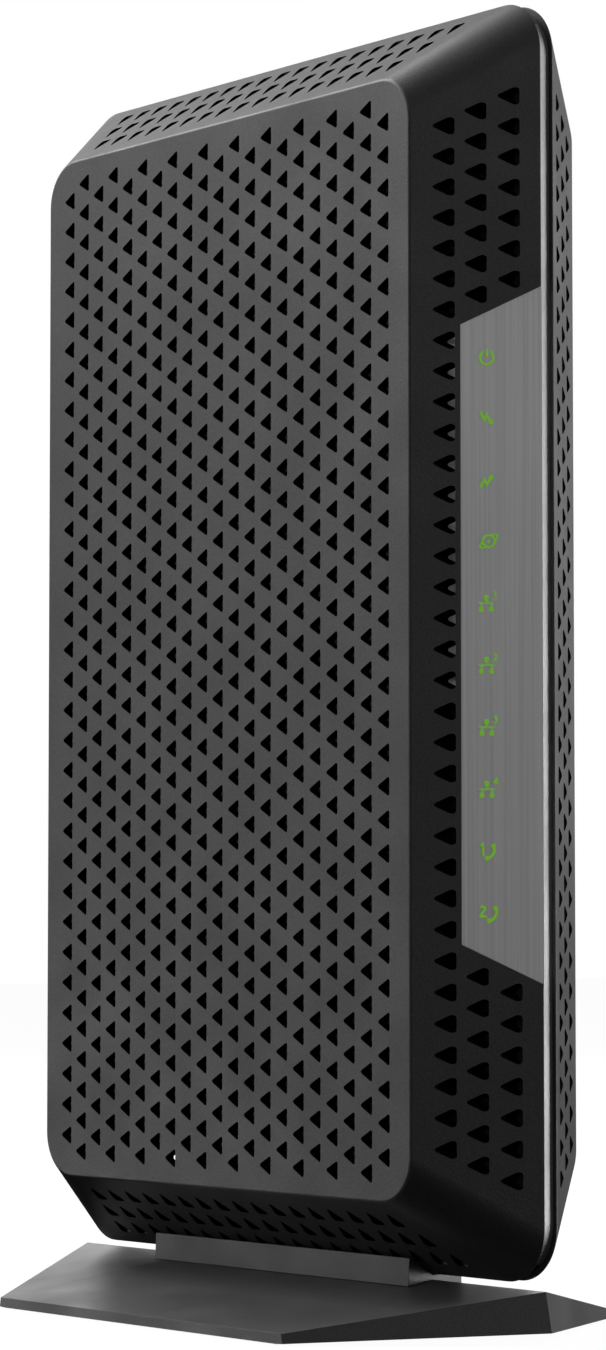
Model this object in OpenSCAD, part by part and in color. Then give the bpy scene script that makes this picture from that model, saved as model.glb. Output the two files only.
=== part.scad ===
// Stand-up cable modem with voice ports, on its own stand.
// +Z is up and the light panel and the trim strip face -Y. X = 0 is the edge of the left shell.
// The origin is on the table, under the middle of the stand.

/* [Body] */
// Height of the body's ridge outline
body_height = 234.5; // [230:0.5:240]
// Depth of the body's ridge outline, front to back
body_depth = 144.1; // [142:0.1:146]
// Thickness of the left shell, ridge to flat face
left_thickness = 19.9; // [19:0.1:21]
// Distance from the left ridge to the right flat face
right_thickness = 19.9; // [19:0.1:21]
// How far the front and back slopes run in from the ridge
slope_run_y = 14.0; // [13:0.1:15]
// How far the top and bottom slopes run in from the ridge
slope_run_z = 14.6; // [14:0.1:15.5]
// Corner radius of the ridge outline
ridge_corner = 10; // [8:0.5:12]
// Corner radius of the flat faces
face_corner = 8.6; // [7:0.2:10]
// Wall thickness of the shells
wall = 2.0; // [1.8:0.1:2.2]
// Clear height of the ridge above the table
body_lift = 10.5; // [10.4:0.1:11]

/* [Trim groove] */
// Width of the groove between the two shells
groove_width = 2.7; // [2.4:0.1:3]
// Depth of the groove below the ridge outline
groove_depth = 1.0; // [0.6:0.1:1.2]
// Depth of the trim and of the seal that fill the groove
trim_depth = 2.2; // [1.5:0.1:2.5]

/* [Face vents] */
// Columns of vents on a flat face
vent_columns = 21; // [11:2:21]
// Rows in the longer columns
vent_rows = 33; // [9:2:33]
// Column pitch
vent_pitch_y = 5.07; // [5:0.01:5.1]
// Row pitch
vent_pitch_z = 6.1; // [6:0.05:6.15]
// Width of a vent, along the depth
vent_width = 3.7; // [2.4:0.1:3.8]
// Height of a vent
vent_height = 3.8; // [2.4:0.1:4]

/* [Slope vents] */
// Pitch of the vents in the front slopes
front_vent_pitch = 5.63; // [5.5:0.01:5.65]
// Pitch of the vents in the top and bottom slopes
top_vent_pitch = 5.9; // [5.7:0.05:6]
// Size of a slope vent across its pitch
slope_vent_size = 4.0; // [2.4:0.1:4]

/* [Light panel] */
// Height of the light panel at the ridge
panel_height = 128; // [124:0.5:129]
// Height of the middle of the light panel
panel_middle = 127.85; // [127:0.05:128]
// Share of the slope that stays bare beside the light panel
panel_start = 0.382; // [0.36:0.002:0.42]
// Thickness of the light panel
panel_thickness = 0.8; // [0.5:0.1:0.9]
// Height of the top icon
icon_top = 178.1; // [177:0.1:179]
// Pitch of the icons
icon_pitch = 11.24; // [11:0.02:11.4]
// Depth of the icon inlays
icon_depth = 0.3; // [0.2:0.05:0.4]

/* [Rear panel] */
// Height of the lower end of the port panel
rear_low = 33; // [32:0.5:36]
// Height of the upper end of the port panel
rear_high = 222; // [219:0.5:223]
// Outer face of the port panel, from the middle of the body
rear_face = 63.2; // [63:0.1:63.5]
// Thickness of the port panel
rear_thickness = 1.8; // [1.5:0.1:2]
// Travel of the power button
power_travel = 1.8; // [1:0.1:2]
// Travel of the reset button
reset_travel = 0.5; // [0.3:0.1:0.6]
// Outside radius of the coaxial barrel
coax_radius = 4.75; // [4.7:0.01:4.8]

/* [Stand] */
// Width of the stand
stand_width = 78.6; // [74:0.2:82]
// Length of the stand at its lower edge
stand_length = 147.2; // [146:0.1:149]
// Length of the stand's straight sides
stand_side = 87.4; // [84:0.2:90]
// Height of the stand's ridge
stand_height = 9.5; // [9.2:0.1:9.5]
// Height of the stand's outer edge
stand_edge = 2.3; // [2:0.1:2.6]
// How far the rubber feet stand proud
foot_proud = 0.4; // [0.3:0.1:0.6]
// Length of the cradle
cradle_length = 80.2; // [76:0.2:84]

/* [Hidden] */

// Colours
dark_shell = [0.20, 0.20, 0.20];
dark_slope = [0.15, 0.15, 0.15];
silver = [0.72, 0.72, 0.74];
brushed = [0.55, 0.56, 0.57];
icon_green = [0.50, 0.76, 0.20];
board_green = [0.05, 0.30, 0.16];
black = [0.03, 0.03, 0.03];
gold = [0.85, 0.65, 0.25];
steel = [0.62, 0.62, 0.64];

// Body outline. Half sizes are measured from the middle of the body.
half_y = body_depth / 2;
half_z = body_height / 2;
middle_z = body_lift + half_z;
ridge_cut = ridge_corner * (sqrt(2) - 1);
face_cut = face_corner * (sqrt(2) - 1);
right_depth = right_thickness - groove_width;
big = 300;
past = 1;

// Front left slope, from the face edge to the ridge
slope_angle = atan(slope_run_y / left_thickness);
slope_length = norm([slope_run_y, left_thickness]);
icon_place = 0.58 * slope_length;
icon_count = 10;
panel_cut_z = 7.25;
guide_radius = 1.5;
guide_gap = 0.1;
guide_span = (icon_count - 1) * icon_pitch;

// Board and the parts on it
board_back = -8.0;
board_face = -6.4;
board_front_y = -52;
board_rear_y = 56;
board_low = 32;
board_high = 224;
port_x = 0.3;
boss_places = [[-46, 40], [-46, 216], [34, 40], [34, 216]];
boss_radius = 3.2;
screw_radius = 1.2;

// Ports, by height
phone_places = [207, 192];
ethernet_places = [171.5, 154.5, 137.5, 120.5];
ethernet_size = [13.4, 21, 16];
phone_size = [12.4, 18, 13.4];
reset_place = 105;
reset_x = -3.4;
coax_place = 90;
button_place = 66;
button_radius = 4.0;
stem_radius = 2.0;
power_place = 48;
port_recess = 0.2;
port_gap = 0.2;
window_left = -11.6;
window_right = 12.4;
panel_gap = 0.15;

// Case screws, through the right shell into posts of the left shell
case_screw_places = [[60, 228.8], [60, 26.8]];

// Stand
stand_slope = (stand_height - stand_edge) / (stand_width / 2);
stand_lean = 1.5;
stand_wall = 2.0;
foot_places = [[30, 34], [-30, 34], [30, -34], [-30, -34]];
foot_radius = 5;
cradle_half = 5.5;
cradle_top = 13.7;
lug_places = [-26, 26];
stand_screw_places = [-34, 34];

// A prism along Z whose outline narrows from half size `ridge` at x = 0 to `face` at x = depth.
// The sloped planes and the face plane are all moved in by `inset`.
module wedge(depth, ridge, face, inset, start) {
    drop = (ridge - face) / depth;
    side = inset * sqrt(1 + drop * drop);
    reach = depth - inset;
    linear_extrude(big, center = true)
        polygon([[start, -(ridge - side - drop * start)], [reach, -(ridge - side - drop * reach)],
            [reach, ridge - side - drop * reach], [start, ridge - side - drop * start]]);
}

// One half of the body, from the ridge plane at x = 0 to the flat face at x = depth
module half_body(depth, inset = 0, start = 0) {
    ridge_q = (half_y + half_z) / sqrt(2) - ridge_cut;
    face_q = (half_y - slope_run_y + half_z - slope_run_z) / sqrt(2) - face_cut;
    translate([0, 0, middle_z]) intersection() {
        wedge(depth, half_y, half_y - slope_run_y, inset, start);
        rotate([90, 0, 0]) wedge(depth, half_z, half_z - slope_run_z, inset, start);
        rotate([45, 0, 0]) wedge(depth, ridge_q, face_q, inset, start);
        rotate([-45, 0, 0]) wedge(depth, ridge_q, face_q, inset, start);
    }
}

module on_left() mirror([1, 0, 0]) children();

module on_right() translate([groove_width, 0, 0]) children();

// Rectangle with cut corners, a band `inset` inside the ridge outline
module ridge_outline(inset) {
    y = half_y - inset;
    z = half_z - inset;
    leg = (ridge_cut - inset * (sqrt(2) - 1)) * sqrt(2);
    polygon([[y, z - leg], [y - leg, z], [leg - y, z], [-y, z - leg],
        [-y, leg - z], [leg - y, -z], [y - leg, -z], [y, leg - z]]);
}

// The band of the groove, as a closed ring across the groove's width
module groove_ring() {
    translate([0, 0, middle_z]) rotate([90, 0, 90]) linear_extrude(groove_width) difference() {
        ridge_outline(groove_depth);
        ridge_outline(groove_depth + trim_depth);
    }
}

// The window in the back that the port panel fills
module rear_window() {
    translate([window_left, rear_face - 12, rear_low])
        cube([window_right - window_left, big, rear_high - rear_low]);
}

// Triangular vent pointing along +x
module vent(length, height) {
    back = 0.4 * length;
    polygon([[length - back, 0], [-back, height / 2], [-back, -height / 2]]);
}

// All vents of one flat face: x is the depth, y is the height above the middle
module face_vents() {
    middle_column = (vent_columns - 1) / 2;
    for (column = [0 : vent_columns - 1]) {
        rows = (column % 2 == 0) ? vent_rows - 1 : vent_rows;
        for (row = [0 : rows - 1])
            translate([(column - middle_column) * vent_pitch_y, (row - (rows - 1) / 2) * vent_pitch_z])
                vent(vent_width, vent_height);
    }
}

// Columns of vents beside the ridge. Each column is set by its share of the slope's run.
module front_vents(skip_panel) {
    shares = [0.27, 0.51, 0.76];
    counts = [34, 35, 36];
    panel_reach = [0, panel_height / 2 - 2, panel_height / 2 + 1];
    for (c = [0 : 2]) {
        place = half_y - slope_run_y + shares[c] * slope_run_y;
        count = counts[c];
        for (row = [0 : count - 1]) {
            z = (row - (count - 1) / 2) * front_vent_pitch;
            if (!skip_panel || abs(z) > panel_reach[c])
                translate([-place, z]) vent(slope_vent_size * 0.64, slope_vent_size);
        }
    }
}

// Rows of vents in the top and bottom slopes
module top_vents() {
    shares = [0.26, 0.51, 0.76];
    for (r = [0 : 2]) {
        count = 17 + r;
        place = half_z - slope_run_z + shares[r] * slope_run_z;
        for (i = [0 : count - 1])
            for (side = [-1, 1])
                translate([(i - (count - 1) / 2) * top_vent_pitch, side * place])
                    rotate(-side * 90) vent(slope_vent_size * 0.65, slope_vent_size);
    }
}

// Cutters for every vent of a shell, along X
module vent_cutters(skip_panel) {
    translate([0, 0, middle_z]) rotate([90, 0, 90]) linear_extrude(big) union() {
        face_vents();
        front_vents(skip_panel);
        top_vents();
    }
}

// Moves children onto the front left slope: x runs from the face edge to the ridge, y is up,
// z points out of the slope
module on_front_slope() {
    translate([-left_thickness, slope_run_y - half_y, 0])
        rotate([0, 0, -slope_angle]) rotate([90, 0, 0]) children();
}

// Outline of the light panel on the slope
module panel_outline() {
    start = panel_start * slope_length;
    outer = panel_height / 2;
    inner = outer - panel_cut_z;
    translate([0, panel_middle]) polygon([[start, -inner], [slope_length + past, -outer],
        [slope_length + past, outer], [start, inner]]);
}

module panel_solid() {
    intersection() {
        on_front_slope() translate([0, 0, -panel_thickness]) linear_extrude(panel_thickness + past)
            panel_outline();
        on_left() half_body(left_thickness);
    }
}

function icon_height(i) = icon_top - i * icon_pitch;

module left_shell() {
    color(dark_shell) union() {
        difference() {
            on_left() half_body(left_thickness);
            on_left() half_body(left_thickness, wall, -past);
            on_left() translate([wall * 1.4, 0, 0]) vent_cutters(true);
            panel_solid();
            rear_window();
            on_front_slope() translate([icon_place - guide_radius - guide_gap,
                icon_height(icon_count - 1) - guide_radius - guide_gap, -wall * 2])
                cube([2 * (guide_radius + guide_gap), guide_span + 2 * (guide_radius + guide_gap), wall * 3]);
        }
        for (place = boss_places) board_boss(place);
        for (place = case_screw_places) case_post(place);
        hood_walls() on_left() half_body(left_thickness);
    }
}

// Walls that close the ridge above and below the port panel, cut from a body half
module hood_walls() {
    for (z = [rear_low - wall, rear_high]) intersection() {
        children();
        translate([-big / 2, rear_face - rear_thickness + 0.2, z]) cube([big, big, wall]);
    }
}

// Post that carries the board, from the face to the board's back
module board_boss(place) {
    foot = -left_thickness + wall / 2;
    translate([foot, place[0], place[1]]) rotate([0, 90, 0]) difference() {
        cylinder(r = boss_radius, h = board_back - foot, $fn = 48);
        translate([0, 0, wall * 2]) cylinder(r = screw_radius, h = big, $fn = 32);
    }
}

// Post inside the left shell that a case screw bites into
module case_post(place) {
    difference() {
        intersection() {
            translate([-left_thickness, place[0], place[1]]) rotate([0, 90, 0])
                cylinder(r = boss_radius, h = left_thickness, $fn = 48);
            on_left() half_body(left_thickness, wall / 2);
        }
        translate([-7, place[0], place[1]]) rotate([0, 90, 0])
            cylinder(r = screw_radius, h = big, $fn = 32);
    }
}

module right_shell() {
    post_end = groove_width + 5;
    color(dark_shell) difference() {
        union() {
            difference() {
                on_right() half_body(right_depth);
                on_right() half_body(right_depth, wall, -past);
                translate([wall * 1.4 + groove_width, 0, 0]) vent_cutters(false);
                rear_window();
            }
            hood_walls() on_right() half_body(right_depth);
            for (place = case_screw_places) intersection() {
                translate([0.1, place[0], place[1]]) rotate([0, 90, 0])
                    cylinder(r = boss_radius + 0.8, h = right_thickness, $fn = 48);
                translate([-groove_width, 0, 0]) on_right() half_body(right_thickness, wall / 2);
            }
        }
        for (place = case_screw_places) translate([-past, place[0], place[1]]) rotate([0, 90, 0]) {
            cylinder(r = screw_radius + 0.3, h = big, $fn = 32);
            translate([0, 0, post_end + past]) cylinder(r = 2.7, h = big, $fn = 48);
        }
    }
}

module front_trim() {
    low = body_lift + 3.4;
    color(silver) intersection() {
        groove_ring();
        translate([-past, -half_y - past, low])
            cube([groove_width + 2 * past, ridge_corner + past, big]);
    }
}

module groove_seal() {
    low = body_lift + 3.4;
    color(black) difference() {
        groove_ring();
        translate([-past, -half_y - past, low])
            cube([groove_width + 2 * past, ridge_corner + past, big]);
        rear_window();
        for (y = lug_places) lug(y, 0.15);
        for (place = case_screw_places) translate([-past, place[0], place[1]]) rotate([0, 90, 0])
            cylinder(r = boss_radius + 1.2, h = groove_width + 2 * past, $fn = 48);
    }
}

// Icon shapes, each about 3 mm wide around its own middle
icon_line = 0.42;

module stroke(a, b, line = icon_line) {
    turn = atan2(b[1] - a[1], b[0] - a[0]);
    translate(a) rotate(turn) translate([0, -line / 2]) square([norm(b - a), line]);
}

module ring(radius) {
    difference() {
        circle(r = radius, $fn = 40);
        circle(r = radius - icon_line, $fn = 40);
    }
}

module icon_power() {
    difference() {
        ring(1.45);
        translate([-0.55, 0.5]) square([1.1, 2]);
    }
    translate([-icon_line / 2, 0]) square([icon_line, 1.6]);
}

// Zigzag arrow that runs down to the right
module icon_zigzag() {
    polygon([[-1.45, 1.25], [-1.0, 1.45], [-0.45, 0.35], [-0.05, 1.35], [0.75, -0.2], [1.1, 0.05],
        [1.25, -1.15], [0.15, -0.75], [0.4, -0.5], [0.0, 0.3], [-0.45, -0.7]]);
}

function oval(length, width) = [for (a = [0 : 12 : 348]) [length * cos(a), width * sin(a)]];

module icon_globe() {
    translate([0.3, 0.2]) {
        ring(1.3);
        circle(r = 0.3, $fn = 24);
        rotate(35) difference() {
            polygon(oval(2.1, 0.85));
            polygon(oval(2.1 - icon_line, 0.85 - icon_line * 0.7));
            circle(r = 1.1, $fn = 40);
        }
    }
}

module icon_network() {
    translate([-0.2, 1.2]) square(0.85, center = true);
    stroke([-0.2, 0.1], [-0.2, 1.0], 0.3);
    stroke([-1.6, 0.15], [1.25, 0.15], 0.3);
    for (x = [-1.1, 0.75]) {
        stroke([x, 0.1], [x, -0.7], 0.3);
        translate([x, -1.0]) square(0.85, center = true);
    }
}

// Digits on a 1.2 by 2 box, as strokes
digit_points = [
    [[0.2, 1.6], [0.7, 2.0], [0.7, 0]],
    [[0.1, 1.7], [0.6, 2.0], [1.1, 1.6], [0.1, 0.1], [1.2, 0.1]],
    [[0.1, 1.9], [1.1, 1.9], [0.5, 1.15], [1.1, 0.6], [0.7, 0.05], [0, 0.15]],
    [[0.9, 0], [0.9, 2.0], [0.05, 0.6], [1.3, 0.6]]];

module digit(number) {
    points = digit_points[number - 1];
    for (i = [0 : len(points) - 2]) {
        stroke(points[i], points[i + 1]);
        translate(points[i + 1]) circle(r = icon_line / 2, $fn = 16);
    }
}

// Crescent handle with a round end at each tip
module icon_handset() {
    outer = 2.05;
    inner = 1.5;
    tips = [-75, 20];
    polygon([for (a = [tips[0] : 9.5 : tips[1]]) outer * [cos(a), sin(a)],
        for (a = [tips[1] : -9.5 : tips[0]]) inner * [cos(a), sin(a)]]);
    for (a = tips) translate((outer + inner) / 2 * [cos(a), sin(a)] * 0.95) circle(r = 0.45, $fn = 24);
}

module icon(i) {
    if (i == 0) icon_power();
    if (i == 1) icon_zigzag();
    if (i == 2) mirror([0, 1]) icon_zigzag();
    if (i == 3) icon_globe();
    if (i > 3 && i < 8) {
        icon_network();
        translate([1.05, 1.0]) scale(0.62) digit(i - 3);
    }
    if (i > 7) {
        translate([-1.6, -0.4]) digit(i - 7);
        translate([-0.6 + 0.35 * (i - 8), 0.6]) icon_handset();
    }
}

module icon_solids(extra) {
    for (i = [0 : icon_count - 1])
        on_front_slope() translate([icon_place, icon_height(i), -icon_depth])
            linear_extrude(icon_depth + extra) icon(i);
}

module light_panel() {
    color(brushed) difference() {
        panel_solid();
        icon_solids(past);
    }
}

module icon_inlays() color(icon_green) icon_solids(0);

// Clear bar with a post behind each icon
module light_guide() {
    back = -6.6;
    bar = 2.6;
    length = guide_span + 6;
    color([0.85, 0.9, 0.9]) on_front_slope() union() {
        translate([icon_place - 2.5, icon_height(icon_count - 1) - 3, back]) cube([5, length, bar]);
        for (i = [0 : icon_count - 1]) translate([icon_place, icon_height(i), back + bar])
            cylinder(r = guide_radius, h = -panel_thickness - guide_gap - back - bar, $fn = 32);
    }
}

module indicator_leds() {
    color([0.95, 0.95, 0.8]) for (i = [0 : icon_count - 1])
        on_front_slope() translate([icon_place - 1, icon_height(i) - 0.8, -7.6]) cube([2, 1.6, 0.9]);
}

module led_board() {
    length = guide_span + 12;
    color(board_green) on_front_slope()
        translate([icon_place - 3.5, icon_height(icon_count - 1) - 6, -8.6]) cube([7, length, 1.0]);
}

// Opening in the port panel around a jack
module jack_window(size, height) {
    translate([board_face - port_gap, rear_face - 10, height - size[2] / 2 - port_gap])
        cube([size[0] + 2 * port_gap, 20, size[2] + 2 * port_gap]);
}

module rear_hole(x, height, radius) {
    translate([x, rear_face - 10, height]) rotate([-90, 0, 0]) cylinder(r = radius, h = 20, $fn = 64);
}

module rear_panel() {
    hook = 1.8;
    color(dark_slope) difference() {
        union() {
            translate([window_left + panel_gap, rear_face - rear_thickness, rear_low + panel_gap])
                cube([window_right - window_left - 2 * panel_gap, rear_thickness,
                    rear_high - rear_low - 2 * panel_gap]);
            translate([-6, rear_face - 2 * rear_thickness, rear_low - hook])
                cube([12, rear_thickness, rear_high - rear_low + 2 * hook]);
        }
        translate([-8, rear_face - 10, rear_low + hook]) cube([16, 10 - rear_thickness,
            rear_high - rear_low - 2 * hook]);
        for (z = ethernet_places) jack_window(ethernet_size, z);
        for (z = phone_places) jack_window(phone_size, z);
        rear_hole(port_x, coax_place, coax_root_radius + port_gap);
        rear_hole(port_x, button_place, button_radius + 0.3);
        rear_hole(reset_x, reset_place, 1.0);
        rear_hole(port_x, power_place, 5.2);
    }
}

module main_board() {
    color(board_green) difference() {
        translate([board_back, board_front_y, board_low])
            cube([board_face - board_back, board_rear_y - board_front_y, board_high - board_low]);
        for (place = boss_places) translate([board_back - past, place[0], place[1]])
            rotate([0, 90, 0]) cylinder(r = screw_radius + 0.3, h = 4, $fn = 32);
    }
}

// Block standing on the board, given by its middle in depth and height
module on_board(y, z, size, lift = 0) {
    translate([board_face + lift, y - size[1] / 2, z - size[2] / 2]) cube(size);
}

module tuner_shield() {
    skin = 0.4;
    size = [5, 34, 30];
    color(steel) difference() {
        on_board(24, coax_place, size);
        translate([-skin, 0, 0]) on_board(24, coax_place, size - [0, 2 * skin, 2 * skin]);
    }
}

processor_size = [1.6, 26, 26];
pad_thickness = 0.5;
processor_y = -10;
processor_z = 152;
module main_processor() color(black) on_board(processor_y, processor_z, processor_size);

module thermal_pad() {
    color([0.6, 0.65, 0.7]) on_board(processor_y, processor_z,
        [pad_thickness, processor_size[1] - 2, processor_size[2] - 2], processor_size[0]);
}

// Plate with upright fins
module heat_sink() {
    base = 2;
    size = [16, 64, 70];
    fins = 11;
    fin = 1.4;
    pitch = (size[1] - fin) / (fins - 1);
    color(steel) translate([board_face + processor_size[0] + pad_thickness, processor_y - size[1] / 2,
        processor_z - size[2] / 2]) linear_extrude(size[2]) union() {
        square([base, size[1]]);
        for (i = [0 : fins - 1]) translate([0, i * pitch]) square([size[0], fin]);
    }
}

module memory_chips() color(black) for (y = [-30, -14]) on_board(y, 98, [1.2, 12, 9]);

module line_transformers() color(black) for (z = ethernet_places) on_board(32, z, [6, 9, 13]);

module capacitors() {
    for (place = [[30, 58], [18, 58], [18, 46]])
        color([0.1, 0.12, 0.2]) translate([board_face, place[0], place[1]]) rotate([0, 90, 0])
            cylinder(r = 4, h = 12, $fn = 48);
}

ethernet_socket = [7.4, 13, 11.8];
phone_socket = [7.0, 12, 9.8];
latch_width = 6.0;
latch_depth = 1.6;
contact_size = 0.35;

// Jack body with its plug cavity and latch slot, open to the back of the modem
module jack(size, socket, height) {
    front = rear_face - port_recess;
    side = (size[0] - socket[0] - latch_depth) / 2;
    translate([board_face, front - size[1], height - size[2] / 2]) difference() {
        cube(size);
        translate([side, size[1] - socket[1], (size[2] - socket[2]) / 2])
            cube([socket[0], socket[1] + past, socket[2]]);
        translate([side + socket[0] - past, size[1] - socket[1], (size[2] - latch_width) / 2])
            cube([latch_depth + past, socket[1] + past, latch_width]);
    }
}

// Row of spring contacts on the board side of a plug cavity
module contacts(size, socket, height, count, pitch) {
    front = rear_face - port_recess;
    side = (size[0] - socket[0] - latch_depth) / 2;
    length = 9;
    for (i = [0 : count - 1])
        translate([board_face + side, front - socket[1],
            height + (i - (count - 1) / 2) * pitch - contact_size / 2]) rotate([90, 0, 90])
            linear_extrude(contact_size * 2) square([length, contact_size]);
}

module ethernet_jacks() {
    color([0.1, 0.1, 0.1]) for (z = ethernet_places) jack(ethernet_size, ethernet_socket, z);
}

module ethernet_contacts() {
    color(gold) for (z = ethernet_places) contacts(ethernet_size, ethernet_socket, z, 8, 1.02);
}

module phone_jacks() {
    color([0.12, 0.12, 0.12]) for (z = phone_places) jack(phone_size, phone_socket, z);
}

module phone_contacts() {
    color(gold) for (z = phone_places) contacts(phone_size, phone_socket, z, 4, 1.02);
}

coax_end = 71.8;
coax_root_radius = coax_radius + 0.5;
coax_root_end = 65.4;
coax_start = 44;
coax_bore = 3.5;

module along_y(y, height, x = port_x) translate([x, y, height]) rotate([-90, 0, 0]) children();

module coax_connector() {
    color(gold) union() {
        difference() {
            union() {
                along_y(coax_start, coax_place)
                    cylinder(r = coax_root_radius, h = coax_root_end - coax_start, $fn = 64);
                along_y(coax_root_end, coax_place)
                    cylinder(r = coax_radius, h = coax_end - coax_root_end, $fn = 64);
            }
            along_y(coax_start + 4, coax_place) cylinder(r = coax_bore, h = big, $fn = 64);
        }
        translate([board_face, coax_start, coax_place - 4])
            cube([port_x - board_face - coax_bore - 0.5, 10, 8]);
    }
}

module coax_nut() {
    color(steel) along_y(rear_face, coax_place) difference() {
        cylinder(r = 7.2, h = 2.0, $fn = 6);
        translate([0, 0, -past]) cylinder(r = coax_root_radius, h = 5, $fn = 64);
    }
}

module coax_insulator() {
    color([0.9, 0.9, 0.88]) along_y(coax_start + 4, coax_place) difference() {
        cylinder(r = coax_bore, h = coax_end - coax_start - 4.6, $fn = 64);
        translate([0, 0, 6]) cylinder(r = 0.6, h = big, $fn = 24);
    }
}

jack_bore = 3.0;
power_jack_size = [13.4, 14, 11];
module power_jack() {
    front = rear_face - port_recess;
    color(black) difference() {
        union() {
            translate([board_face, front - 3 - power_jack_size[1], power_place - power_jack_size[2] / 2])
                cube(power_jack_size);
            along_y(front - 4, power_place) cylinder(r = 5, h = 4, $fn = 64);
        }
        along_y(front - 11, power_place) cylinder(r = jack_bore, h = big, $fn = 64);
    }
}

module power_jack_pin() {
    front = rear_face - port_recess;
    color(silver) along_y(front - 11, power_place) cylinder(r = 1.05, h = 10, $fn = 32);
}

switch_front = 56;
module power_switch() {
    color([0.08, 0.08, 0.08]) difference() {
        on_board(switch_front - 7, button_place, [12.4, 14, 12]);
        along_y(switch_front - 8, button_place) cylinder(r = stem_radius + 0.05, h = big, $fn = 64);
    }
}

module power_button() {
    cap_start = 60.5;
    stem_start = switch_front - 8 + power_travel + 0.4;
    color([0.1, 0.1, 0.1]) union() {
        along_y(cap_start, button_place) cylinder(r = button_radius, h = 4.6, $fn = 64);
        along_y(stem_start, button_place)
            cylinder(r = stem_radius, h = cap_start - stem_start + past, $fn = 64);
    }
}

reset_front = 55;
plunger_radius = 1.3;
module reset_switch() {
    color(steel) difference() {
        on_board(reset_front - 4, reset_place, [6, 8, 6]);
        along_y(reset_front - 3.2, reset_place, reset_x)
            cylinder(r = plunger_radius + 0.05, h = big, $fn = 48);
    }
}

module reset_button() {
    start = reset_front - 3.2 + reset_travel + 0.3;
    end = rear_face - rear_thickness - 0.8;
    color([0.6, 0.1, 0.1]) along_y(start, reset_place, reset_x)
        cylinder(r = plunger_radius, h = end - start, $fn = 48);
}

// Screw along -X with its head outwards, starting at x
module screw_x(x, place, length, head) {
    translate([x, place[0], place[1]]) rotate([0, 90, 0]) {
        cylinder(r = head, h = 1.6, $fn = 48);
        translate([0, 0, -length]) cylinder(r = screw_radius, h = length, $fn = 32);
    }
}

module board_screws() color(steel) for (place = boss_places) screw_x(board_face, place, 7, 2.6);

module case_screws() {
    color(steel) for (place = case_screw_places) screw_x(groove_width + 5, place, 13, 2.4);
}

// Half space in front of one end face of the stand
module stand_end_cut() {
    across = [-stand_width / 2, (stand_length - stand_side) / 2 - stand_lean, 0];
    turn = atan2(across[1], -across[0]);
    lean = atan(stand_lean * cos(turn) / (stand_height - stand_edge));
    translate([0, stand_lean - stand_length / 2, stand_height]) rotate([0, 0, -turn])
        rotate([-lean, 0, 0]) translate([-big, -2 * big, -big]) cube(2 * big);
}

// Roof-shaped block of the stand, moved in by `inset`
module stand_form(inset) {
    half = stand_width / 2 - inset;
    top = stand_height - inset;
    difference() {
        rotate([90, 0, 0]) linear_extrude(stand_length - 2 * inset, center = true)
            polygon([[-half, foot_proud], [-half, stand_edge - inset * stand_slope], [0, top],
                [half, stand_edge - inset * stand_slope], [half, foot_proud]]);
        for (side = [0, 1], end = [0, 1]) mirror([side, 0, 0]) mirror([0, end, 0])
            translate([0, inset * 1.25, 0]) stand_end_cut();
    }
}

module stand_base() {
    color(dark_shell) difference() {
        union() {
            difference() {
                stand_form(0);
                translate([0, 0, -past]) stand_form(stand_wall);
                // The lower rim rises towards both ends
                for (end = [0, 1]) mirror([0, end, 0])
                    rotate([90, 0, 90]) linear_extrude(big, center = true)
                        polygon([[-stand_side / 2, foot_proud], [-stand_length, foot_proud],
                            [-stand_length, stand_edge + 1.9], [-stand_length / 2, stand_edge - 0.1]]);
            }
            for (place = foot_places) translate([place[0], place[1], foot_proud])
                cylinder(r = foot_radius + 1.5, h = 2.3, $fn = 48);
            for (y = stand_screw_places) translate([0, y, foot_proud + 1.6])
                cylinder(r = 4, h = stand_height - foot_proud - 2.4, $fn = 48);
        }
        for (place = foot_places) translate([place[0], place[1], 0])
            cylinder(r = foot_radius, h = foot_proud + 1, $fn = 48);
        for (y = stand_screw_places) translate([0, y, 0]) {
            cylinder(r = screw_radius + 0.3, h = big, $fn = 32);
            cylinder(r = 2.8, h = 4, $fn = 48);
        }
    }
}

// Lug that locates the body, standing in the groove between the shells
module lug(y, gap) {
    translate([0.2 - gap, y - 6 - gap, stand_height]) cube([groove_width - 0.4 + 2 * gap,
        12 + 2 * gap, 6.5 + gap]);
}

// Two low walls shaped to the bottom slopes of the body, and two lugs
module stand_cradle() {
    clearance = 0.1;
    left_rise = slope_run_z / left_thickness;
    right_rise = slope_run_z / right_depth;
    floor_z = body_lift - clearance;
    left_x = (cradle_top - floor_z) / left_rise;
    right_x = groove_width + (cradle_top - floor_z) / right_rise;
    color(dark_slope) difference() {
        union() {
            rotate([90, 0, 0]) linear_extrude(cradle_length, center = true) difference() {
                polygon([[-cradle_half - 0.25, stand_height - stand_slope * cradle_half],
                    [-cradle_half, cradle_top], [-left_x, cradle_top], [0, floor_z],
                    [groove_width, floor_z], [right_x, cradle_top],
                    [cradle_half + 1.4, cradle_top],
                    [cradle_half + 1.65, stand_height - stand_slope * (cradle_half + 1.4)],
                    [0, stand_height]]);
            }
            for (y = lug_places) lug(y, 0);
        }
        for (y = stand_screw_places) translate([0, y, 0]) cylinder(r = 0.9, h = floor_z - 0.3, $fn = 32);
    }
}

module stand_screws() {
    color(steel) for (y = stand_screw_places) translate([0, y, 4 - 1.6]) {
        cylinder(r = 2.4, h = 1.6, $fn = 48);
        cylinder(r = 0.9, h = 1.6 + body_lift - 4 - 0.5, $fn = 32);
    }
}

module rubber_feet() {
    color(black) for (place = foot_places) translate([place[0], place[1], 0])
        cylinder(r = foot_radius - 0.1, h = foot_proud + 1, $fn = 48);
}

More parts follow.
